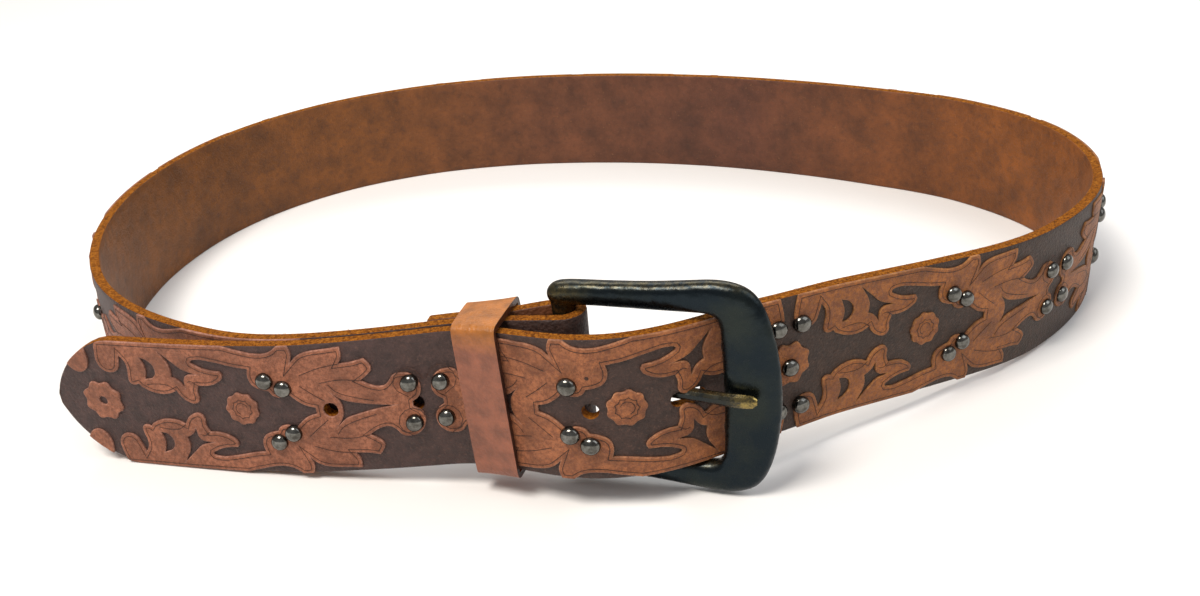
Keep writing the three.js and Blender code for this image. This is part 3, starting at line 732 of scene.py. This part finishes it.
# %% Fibres on the raw edges
FIBRES, FIBRE_LONG, FIBRE_RADIUS = 3600, 0.9, 0.045
FIBRES_START, FIBRES_END = 20.0, 1015.0
hair = random.Random(7)
curve = bpy.data.curves.new("edge_fibres", "CURVE")
curve.dimensions = "3D"
curve.bevel_depth = FIBRE_RADIUS
curve.bevel_resolution = 0
curve.resolution_u = 1
for k in range(FIBRES):
    x = hair.uniform(FIBRES_START, FIBRES_END)
    z = hair.uniform(-TOP, TOP - GROUND_DEPTH)
    side = hair.choice((-1, 1, 1))
    y = MIDDLE + side * (MIDDLE - 0.1)
    lean_x, lean_z = hair.uniform(-1, 1), hair.uniform(-0.6, 0.6)
    long = FIBRE_LONG * hair.uniform(0.25, 1) ** 2
    spline = curve.splines.new("POLY")
    spline.points.add(2)
    for point, share in zip(spline.points, (0, 0.5, 1)):
        rise = 0.25 * long * share
        point.co = (x + lean_x * long * share ** 2, y + side * rise, z + lean_z * long * share, 1)
        point.radius = 1 - 0.6 * share
mesh = mesh_of(curve)
mesh.materials.append(edge_leather)
bend(mesh)
fibres = new_object("raw_edge_fibres", mesh)
print("Fibres:", FIBRES)

# %% [markdown]
# Cast brass under a blue-black patina, rubbed through to olive and brass on the edges that
# hands and cloth touch. Metal keeps Blender's default IOR.


# %% Metal finishes
def patinated_brass(name, dark, olive, brass, rubbed):
    """Patina with olive clouds, and brass where the metal is rubbed"""
    material = new_material(name)
    cloud = ramp(material, grain(material, 14, 5, 0.6), [(0.4, "#000000"), (0.62, "#b0b0b0")])
    base = mix_colour(material, cloud, dark, olive)
    normal = add(material, "ShaderNodeNewGeometry").outputs["Normal"]
    facing = add(material, "ShaderNodeSeparateXYZ", {0: normal})
    upper = ramp(material, facing.outputs["Z"], [(0.45, "#000000"), (0.95, "#8a8a8a")])
    patch = add(material, "ShaderNodeMath", {0: upper, 1: rubbed(material)}, operation="MAXIMUM")
    broken = ramp(material, grain(material, 2.0, 6, 0.75), [(0.38, "#303030"), (0.62, "#ffffff")])
    patch = add(material, "ShaderNodeMath", {0: patch.outputs[0], 1: broken}, operation="MULTIPLY")
    base = mix_colour(material, patch.outputs[0], base, brass)
    handled = {"Value": grain(material, 1.5, 5, 0.7), "From Min": 0.3, "From Max": 0.7,
               "To Min": 0.2, "To Max": 0.38}
    rough = add(material, "ShaderNodeMapRange", handled).outputs[0]
    cast = bump(material, grain(material, 1.2, 4), 0.06)
    cast = bump(material, grain(material, 8, 2), 0.7, cast)
    return finish_with(material, Base_Color=base, Roughness=rough, Metallic=0.9, Normal=cast)


def arm_end(material):
    """1 at the frame's open left end, falling to 0 along its arms"""
    return add(material, "ShaderNodeMapRange", {"Value": span(material, -11.5, 0), "To Min": 0.5,
                                                "To Max": 0.0}).outputs[0]


def prong_tip(material):
    return span(material, 28, 35)


frame_metal = patinated_brass("patinated cast brass", "#1d252a", "#34382f", "#857341", arm_end)
prong_metal = patinated_brass("rubbed brass prong", "#2c2f2f", "#3e3d33", "#b39a55", prong_tip)


def pewter_metal():
    """Stamped caps with a dark gunmetal plating, polished"""
    material = new_material("gunmetal plated caps")
    tarnish = ramp(material, grain(material, 1.6, 4, 0.7), [(0.35, "#4a4843"), (0.7, "#7c7b76")])
    return finish_with(material, Base_Color=tarnish, Roughness=0.17, Metallic=1.0)


stud_metal = pewter_metal()
print("Metal finishes:", frame_metal.name, prong_metal.name, stud_metal.name)

# %% [markdown]
# The buckle and its prong were cast, so nothing on them is flat or sharp. A merged copy of each
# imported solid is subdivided, which rounds its facets and keeps its form.


# %% Buckle and prong
def smooth_copy(name, node, material, levels, bevel_mm=0.0):
    """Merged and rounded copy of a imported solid"""
    bm = bmesh.new()
    bm.from_mesh(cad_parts[node].data)
    bmesh.ops.remove_doubles(bm, verts=bm.verts, dist=0.00001)
    bmesh.ops.join_triangles(bm, faces=bm.faces, angle_face_threshold=0.7,
                             angle_shape_threshold=3.1)
    bmesh.ops.recalc_face_normals(bm, faces=bm.faces)
    copy = from_bmesh(name, bm, material)
    for face in copy.data.polygons:
        face.material_index = 0
        face.use_smooth = True
    if bevel_mm:
        rounding = copy.modifiers.new("edges", "BEVEL")
        rounding.width = bevel_mm * MM
        rounding.segments = 3
        rounding.limit_method = "ANGLE"
        rounding.angle_limit = 0.6
    cast = copy.modifiers.new("cast", "SUBSURF")
    cast.levels = cast.render_levels = levels
    return copy


buckle = smooth_copy("cast_buckle", "buckle_frame", frame_metal, 2)
prong = smooth_copy("cast_prong", "buckle_prong", prong_metal, 1, 0.3)
print("Buckle and prong smoothed")

# %% [markdown]
# The keeper is a plain band of the same hide, reddish brown on its outside and painted lighter
# and more orange towards its top, where light from above falls, with edges rubbed smooth and dark
# with a bone slicker.


# %% Keeper loop
def keeper_finish(name, face, top):
    material = new_material(name)
    # Painted light: the face colour below, a lighter, more orange top where light from above falls
    base = mix_colour(material, span(material, 41, 48, "Z"), face, top)
    blotch = ramp(material, grain(material, 4, 6, 0.65), [(0.35, "#909090"), (0.65, "#ffffff")])
    base = mix_colour(material, 0.6, base, blotch, "MULTIPLY")
    skin = bump(material, grain(material, 0.7, 4), 0.2)
    return finish_with(material, Base_Color=base, Roughness=0.4, IOR=1.5, Normal=skin,
                       Specular_IOR_Level=0.5)


keeper_leather_lit_top = keeper_finish("keeper leather, painted lighter at the top", "#8f5238", "#b06a20")
keeper = smooth_copy("keeper_band", "keeper_loop", keeper_leather_lit_top, 1, 0.8)
apply_modifiers(keeper)
keeper.data.materials.append(keeper_finish("burnished keeper edge", "#3b1f16", "#4a2410"))
keeper_low, keeper_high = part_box("keeper_loop")
keeper_middle = (keeper_low + keeper_high) / 2 / MM
near_keeper = np.linalg.norm(bases[:, :2] - np.array(keeper_middle)[:2], axis=1).argmin()
keeper_along = Vector(alongs[near_keeper])
for face in keeper.data.polygons:
    face.material_index = 1 if abs(face.normal.dot(keeper_along)) > 0.5 else 0
print("Keeper made")

# %% [markdown]
# Each stud is a stamped cap. Half an outline is spun once round and the dome is set where the
# pattern puts it; its foot sits in the leather.

# %% Domed studs
STUD_RADIUS, STUD_HEIGHT, STUD_SUNK = 2.4, 1.9, 0.5
STUD_REACH, STUDS_END = 450.0, 860.0


def stud_places():
    """Distance and height of each stud along the strap; one has been lost"""
    places = []
    start = FIRST_FLOWER
    while start < PATTERN_END:
        groups = [(start, 1, flower_studs if start > FIRST_FLOWER else []),
                  (start + FLOWER_TO_ROSE, 1, rose_studs),
                  (start + PERIOD / 2, 1, cluster_studs),
                  (start + PERIOD - FLOWER_TO_ROSE, -1, rose_studs)]
        for middle, side, studs in groups:
            for k, (away, share) in enumerate(studs):
                lost = start == FIRST_FLOWER and side < 0 and k == 0
                if not lost:
                    places.append((middle + side * away, share * STRAP_WIDTH))
        start += PERIOD
    return places


def make_studs(name, places):
    """Spins a dome for each place and joins them all"""
    bm = bmesh.new()
    for distance, height in places:
        rim = [bm.verts.new((STUD_RADIUS * math.cos(turn), 0, STUD_HEIGHT * math.sin(turn) ** 0.8))
               for turn in (k * math.pi / 16 for k in range(8))]
        foot = bm.verts.new((STUD_RADIUS * 0.96, 0, -STUD_SUNK))
        top = bm.verts.new((0, 0, STUD_HEIGHT))
        line = [foot, *rim, top]
        edges = [bm.edges.new(pair) for pair in zip(line, line[1:])]
        bmesh.ops.spin(bm, geom=line + edges, cent=(0, 0, 0), axis=(0, 0, 1), steps=20,
                       angle=2 * math.pi, use_merge=True)
        new = [vert for vert in bm.verts if not vert.tag]
        bmesh.ops.translate(bm, vec=(distance, height, TOP), verts=new)
        for vert in new:
            vert.tag = True
    bmesh.ops.remove_doubles(bm, verts=bm.verts, dist=0.001)
    bmesh.ops.recalc_face_normals(bm, faces=bm.faces)
    studs = from_bmesh(name, bm, stud_metal)
    for face in studs.data.polygons:
        face.use_smooth = True
    bend(studs.data)
    return studs


places = stud_places()
in_front = [place for place in places if place[0] < STUD_REACH]
behind = [place for place in places if STUD_REACH < place[0] < STUDS_END]
front_studs = make_studs("front_studs", in_front)
back_studs = make_studs("back_studs", behind)
print("Studs:", len(in_front), "in front and", len(behind), "behind")

# %% [markdown]
# Every piece rides on the belt's one body, and the imported solids that it stands for are hidden.

# %% Join to the frame
stud_nodes = sorted(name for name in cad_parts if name.startswith("dome_stud"))
roles = [
    (strap, "tooled_leather", ["belt_strap"]),
    (tooling, "tooled_leather", []),
    (flowers, "tooled_leather", []),
    (knife_lines, "tooled_leather", []),
    (lost_mark, "tooled_leather", []),
    (fibres, "tooled_leather", []),
    (buckle, "buckle_brass", ["buckle_frame"]),
    (prong, "prong_brass", ["buckle_prong"]),
    (keeper, "keeper_leather", ["keeper_loop"]),
    (front_studs, "stud_metal", stud_nodes),
    (back_studs, "stud_metal", []),
]
for piece, slot, nodes in roles:
    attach(piece, "root")
    if nodes:
        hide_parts(*nodes)
print("Pieces:", len(roles))

# %% [markdown]
# The belt stands on a pale sweep of paper under large soft lamps, and the camera looks down on
# it from the front, turned a little, as in the photo.

# %% Floor, lamps and camera
bm = bmesh.new()
bmesh.ops.create_grid(bm, x_segments=1, y_segments=1, size=6)
paper = new_material("matt white paper")
finish_with(paper, Base_Color=linear("#e9e8e6"), Roughness=0.9, IOR=1.5)
floor = from_bmesh("paper_floor", bm, paper)


def lamp(name, place, size, power, colour="#ffffff"):
    light = bpy.data.lights.new(name, "AREA")
    light.shape = "RECTANGLE"
    light.size, light.size_y = size
    light.energy = power
    light.color = linear(colour)[:3]
    lamp_object = new_object(name, light)
    lamp_object.location = place
    aim = Vector((0, 0, 0.02)) - Vector(place)
    lamp_object.rotation_euler = aim.to_track_quat("-Z", "Y").to_euler()


lamp("key_lamp", place=(-0.45, -0.5, 1.2), size=(0.5, 0.5), power=19, colour="#fff8f0")
lamp("fill_lamp", place=(0.9, -0.3, 0.9), size=(0.9, 0.9), power=5, colour="#f4f8ff")
lamp("back_lamp", place=(0.1, 1.0, 1.1), size=(1.4, 0.6), power=9)
world = bpy.data.worlds.new("soft_room")
world.use_nodes = True
world.node_tree.nodes["Background"].inputs["Color"].default_value = linear("#f2f2f2")
world.node_tree.nodes["Background"].inputs["Strength"].default_value = 0.42
bpy.context.scene.world = world
bpy.context.scene.view_settings.view_transform = "Standard"

PITCH, ROLL = math.radians(26.55), math.radians(5.19)
CAMERA_PLACE = Vector((1.43, -363.64, 177)) * MM
level = Vector((1, 0, 0))
lower = Vector((0, -math.sin(PITCH), -math.cos(PITCH)))
ahead = Vector((0, math.cos(PITCH), -math.sin(PITCH)))
right = level * math.cos(ROLL) + lower * math.sin(ROLL)
down = lower * math.cos(ROLL) - level * math.sin(ROLL)
lens = bpy.data.cameras.new("photo_camera")
lens.lens = 36
lens.sensor_width = 36
lens.clip_start = 0.01
camera = new_object("photo_camera", lens)
turn = Matrix((right, -down, -ahead)).transposed().to_4x4()
camera.matrix_world = Matrix.Translation(CAMERA_PLACE) @ turn
bpy.context.scene.camera = camera
print("Camera, three lamps and the floor are set")
